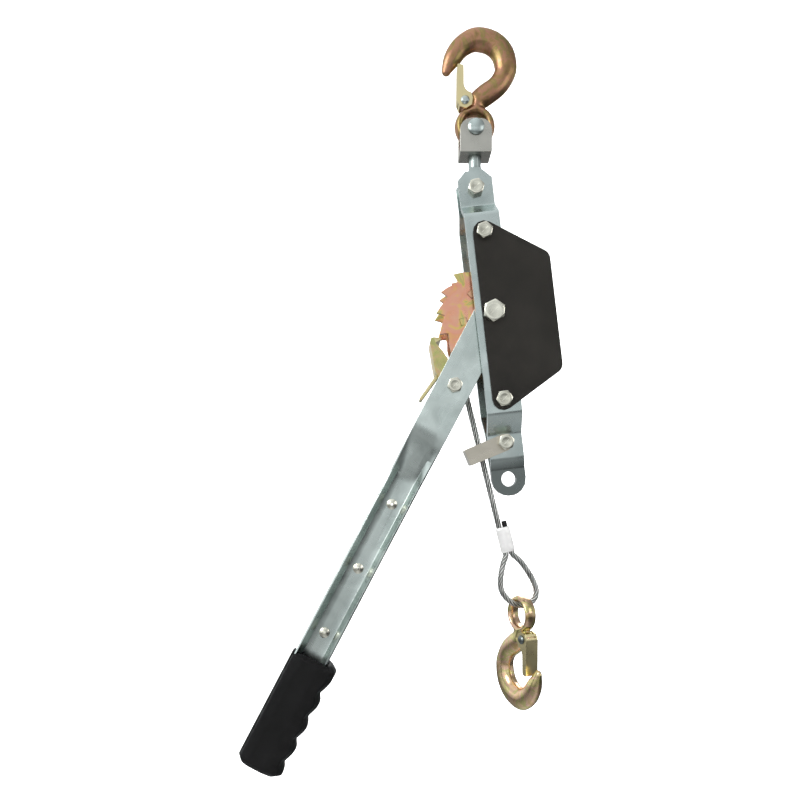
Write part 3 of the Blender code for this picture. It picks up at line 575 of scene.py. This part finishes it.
def smooth_path(stations, steps):
    """Points through the stations, as a Catmull-Rom curve."""
    ends = [stations[0], *stations, stations[-1]]
    found = []
    for p, q, r, w in zip(ends, ends[1:], ends[2:], ends[3:]):
        p, q, r, w = (np.array(v, float) for v in (p, q, r, w))
        for k in range(steps):
            t = k / steps
            bend = (2 * p - 5 * q + 4 * r - w) * t**2 + (3 * q - p - 3 * r + w) * t**3
            found.append(0.5 * (2 * q + (r - p) * t + bend))
    return found + [np.array(stations[-1], float)]


def winding(radius, turns, half, first_angle, way):
    """A helix round the axle, as neat turns that step sideways as they go round."""
    steps = int(72 * turns)
    points = []
    for k in range(steps + 1):
        s, c = turn(first_angle + 360 * turns * k / steps)
        points.append((AXLE[0] + radius * c, way * half * (2 * k / steps - 1), AXLE[1] + radius * s))
    return points


EXIT_ANGLE = 180 + ROPE_TILT
TURNS, LAYER_HALF = 4.0, 9.35
outer_layer = winding(ROPE_LINE_R, TURNS, LAYER_HALF, EXIT_ANGLE - 720, 1)
inner_layer = winding(INNER_LAYER_R, TURNS, LAYER_HALF, EXIT_ANGLE - 540, -1)
wire_rope("drum_rope_outer", outer_layer, ROPE_R - 0.08, ROPE_LAY, 2.0, 8, WIRE, ("rope_on_drum",))
inner_rope = wire_rope("drum_rope_inner", inner_layer, ROPE_R - 0.08, ROPE_LAY, 3.0, 6, WIRE, (), "drum")

straight = [on_rope(-0.5), on_rope(FERRULE_TOP + 3)]
free_rope = wire_rope("free_rope", straight, ROPE_R, ROPE_LAY, 1.1, 12, WIRE, ("rope_line",))
free_rope.parent = None
del free_rope["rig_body"]
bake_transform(free_rope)

below = on_rope(FERRULE_END, 2.7)
LOOP = [(-4.5, -11.0), (-6.6, -24.0), (-5.6, -34.0), (0.6, -42.0), (8.6, -46.0), (16.6, -45.4),
        (23.0, -39.6), (23.6, -31.0), (18.6, -20.0), (10.6, -8.6)]
loop = [(below[0] + x, 0.0, below[2] + z) for x, z in LOOP]
loop = [on_rope(FERRULE_END - 3), on_rope(FERRULE_END + 0.6), on_rope(FERRULE_END + 3.0, -0.1), *loop,
        on_rope(FERRULE_END + 3.6, 6.0), on_rope(FERRULE_END + 1.0, 5.3), on_rope(FERRULE_END - 3, 5.3)]
wire_rope("rope_loop", smooth_path(loop, 6), ROPE_R, ROPE_LAY, 1.1, 12, WIRE, ("rope_eye",))
tail = [on_rope(FERRULE_TOP - 5.0, 5.2), on_rope(FERRULE_TOP + 2.0, 5.2)]
wire_rope("rope_tail", tail, ROPE_R - 0.2, 16.0, 0.5, 12, TAPE_BLACK, ("rope_dead_end",))


FERRULE_ACROSS, FERRULE_DEEP = 6.1, 3.75
FERRULE_SHIFT = 2.7


def ferrule():
    """The pressed ferrule: a flattened barrel with a ridge down each face and chamfered mouths."""
    sides, stations = 48, 26
    s, c = turn(ROPE_TILT)
    middle = on_rope((FERRULE_TOP + FERRULE_END) / 2, FERRULE_SHIFT)
    long = FERRULE_END - FERRULE_TOP
    verts, faces = [], []
    for i in range(stations):
        share = i / (stations - 1)
        mouth = min(1.0, 0.86 + 2.6 * min(share, 1 - share))
        press = 1 - 0.035 * max(0.0, math.cos(share * math.pi * 6)) * (0.12 < share < 0.88)
        for k in range(sides):
            angle = 2 * math.pi * k / sides
            u, v = math.cos(angle), math.sin(angle)
            diamond = 1 / (abs(u) + abs(v))
            reach = (0.62 + 0.38 * diamond * 1.28) * mouth * press
            reach = min(reach, 1.0)
            across, out = FERRULE_ACROSS * u * reach, FERRULE_DEEP * v * reach
            down = (share - 0.5) * long
            x, z = middle[0] + down * s + across * c, middle[2] - down * c + across * s
            verts.append((x * MM, out * MM, z * MM))
    for i in range(stations - 1):
        for k in range(sides):
            a, b = i * sides + k, i * sides + (k + 1) % sides
            faces.append((a, b, b + sides, a + sides))
    faces.append(tuple(reversed(range(sides))))
    faces.append(tuple(range((stations - 1) * sides, stations * sides)))
    mesh = bpy.data.meshes.new("ferrule")
    mesh.from_pydata(verts, [], faces)
    bm = bmesh.new()
    bm.from_mesh(mesh)
    bmesh.ops.recalc_face_normals(bm, faces=bm.faces)
    bm.to_mesh(mesh)
    bm.free()
    crisp(piece("pressed_ferrule", mesh, ALUMINIUM, "ferrule"), 40)


ferrule()


# ---------------------------------------------------------------- studio


def studio():
    """A white sweep all round, soft lights, and grey surroundings that only the metal reflects."""
    profile = [(0.01, -1.0), (1.7, -1.0), (1.95, -0.93), (2.1, -0.78), (2.15, -0.55), (2.15, 2.4)]
    sides = 64
    verts = [(r * math.cos(2 * math.pi * k / sides), r * math.sin(2 * math.pi * k / sides), z)
             for r, z in profile for k in range(sides)]
    faces = []
    for i in range(len(profile) - 1):
        for k in range(sides):
            a, b = i * sides + k, i * sides + (k + 1) % sides
            faces.append((a, b, b + sides, a + sides))
    mesh = bpy.data.meshes.new("sweep")
    mesh.from_pydata(verts, [], faces)
    sweep = bpy.data.objects.new("sweep", mesh)
    bpy.context.scene.collection.objects.link(sweep)
    for polygon in mesh.polygons:
        polygon.use_smooth = True
    white = Finish("sweep_white", Roughness=0.9, Emission_Strength=0.62)
    white.shader.inputs["Base Color"].default_value = (0.86, 0.86, 0.86, 1)
    white.shader.inputs["Emission Color"].default_value = (1, 1, 1, 1)
    coat(sweep, white.material)
    sweep.visible_glossy = False

    world = bpy.data.worlds.new("studio")
    bpy.context.scene.world = world
    world.use_nodes = True
    tree = world.node_tree
    background = tree.nodes["Background"]
    where = tree.nodes.new("ShaderNodeTexCoord")
    split = tree.nodes.new("ShaderNodeSeparateXYZ")
    tree.links.new(where.outputs["Generated"], split.inputs["Vector"])

    def band(axis, stops):
        scaled = tree.nodes.new("ShaderNodeMapRange")
        scaled.inputs["From Min"].default_value = -1
        tree.links.new(split.outputs[axis], scaled.inputs["Value"])
        ramp = tree.nodes.new("ShaderNodeValToRGB")
        ramp.color_ramp.interpolation = "EASE"
        elements = ramp.color_ramp.elements
        while len(elements) < len(stops):
            elements.new(0.5)
        for element, (place, grey) in zip(elements, stops):
            element.position = (place + 1) / 2
            element.color = (grey * 0.98, grey, grey * 1.01, 1)
        tree.links.new(scaled.outputs["Result"], ramp.inputs["Fac"])
        return ramp.outputs["Color"]

    heights = band("Z", [(-1.0, 0.60), (-0.55, 0.26), (-0.3, 0.15), (-0.16, 0.38), (-0.02, 0.84), (0.15, 1.0),
                         (0.33, 0.60), (0.48, 0.80), (1.0, 1.0)])
    widths = band("X", [(-1.0, 1.0), (-0.7, 1.0), (-0.45, 0.72), (-0.1, 0.92), (0.2, 0.72), (0.5, 0.34),
                        (0.75, 0.30), (1.0, 0.60)])
    product = tree.nodes.new("ShaderNodeMix")
    product.data_type = "RGBA"
    product.blend_type = "MULTIPLY"
    product.inputs["Factor"].default_value = 1.0
    tree.links.new(heights, product.inputs[6])
    tree.links.new(widths, product.inputs[7])
    tree.links.new(product.outputs[2], background.inputs["Color"])
    background.inputs["Strength"].default_value = 1.15

    for name, place, size, power in (
        ("key", (-1.2, -1.0, 0.45), 0.9, 11.0),
        ("fill", (1.15, -1.1, 0.15), 0.8, 3.0),
        ("back", (0.5, 1.4, 0.5), 1.0, 9.0),
        ("under", (-0.2, -0.9, -0.95), 0.8, 0.35),
    ):
        light = bpy.data.lights.new(name, "AREA")
        light.size = size
        light.energy = power
        lamp = bpy.data.objects.new(name, light)
        bpy.context.scene.collection.objects.link(lamp)
        lamp.location = place
        lamp.rotation_euler = (Vector((0, 0, -0.3)) - Vector(place)).to_track_quat("-Z", "Y").to_euler()


LENS, SENSOR, SHIFT_UP, NEAREST = 31.4, 36.0, 0.092, 0.01
STAND = (-0.0654, -0.6, -0.3627)


def camera():
    seen = bpy.data.cameras.new("camera")
    seen.lens, seen.sensor_width = LENS, SENSOR
    seen.shift_y = SHIFT_UP
    seen.clip_start = NEAREST
    holder = bpy.data.objects.new("camera", seen)
    bpy.context.scene.collection.objects.link(holder)
    holder.location = STAND
    holder.rotation_euler = (math.radians(90), 0, 0)
    bpy.context.scene.camera = holder
    bpy.context.scene.view_settings.view_transform = "Standard"


studio()
camera()
